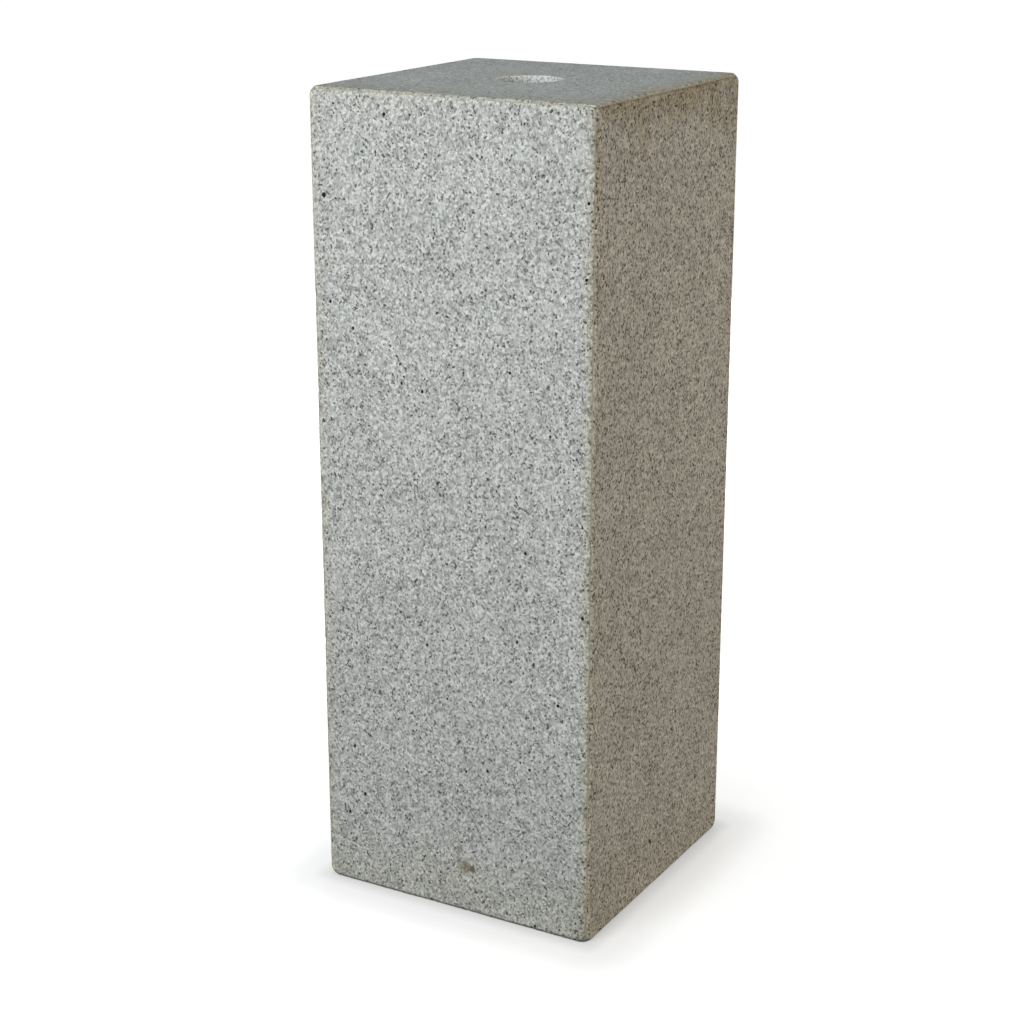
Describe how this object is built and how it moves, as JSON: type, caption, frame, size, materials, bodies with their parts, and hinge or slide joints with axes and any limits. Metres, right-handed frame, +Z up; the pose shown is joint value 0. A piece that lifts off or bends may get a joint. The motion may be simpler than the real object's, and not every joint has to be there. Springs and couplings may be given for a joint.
{
  "type": "granite plinth",
  "caption": "Tall square granite plinth bonded from mitred slabs, open underneath, with a core-drilled hole in the centre of its top for a cable, pipe or fixing.",
  "frame": {"origin": "centre of the square footprint, on the floor", "axes": "+Z up along the plinth; the front slab faces -Y and the right slab faces +X"},
  "size_m": [0.3, 0.3, 0.8],
  "materials": {
    "granite": "matte",
    "honed_granite": "satin",
    "sawn_granite": "matte",
    "mitre_resin": "matte",
    "bed_resin": "satin"
  },
  "bodies": {
    "root": {"top_slab": "honed_granite", "front_slab": "granite", "right_slab": "granite", "back_slab": "granite", "left_slab": "granite", "top_resin_front": "mitre_resin", "top_resin_right": "mitre_resin", "top_resin_back": "mitre_resin", "top_resin_left": "mitre_resin", "top_batten_front": "sawn_granite", "top_batten_right": "sawn_granite", "top_batten_back": "sawn_granite", "top_batten_left": "sawn_granite", "top_bed_front": "bed_resin", "top_bed_right": "bed_resin", "top_bed_back": "bed_resin", "top_bed_left": "bed_resin", "corner_resin_front_right": "mitre_resin", "corner_resin_back_right": "mitre_resin", "corner_resin_back_left": "mitre_resin", "corner_resin_front_left": "mitre_resin", "corner_batten_front_right": "sawn_granite", "corner_batten_back_right": "sawn_granite", "corner_batten_back_left": "sawn_granite", "corner_batten_front_left": "sawn_granite", "corner_bed_front_right": "bed_resin", "corner_bed_back_right": "bed_resin", "corner_bed_back_left": "bed_resin", "corner_bed_front_left": "bed_resin"}
  },
  "joints": []
}
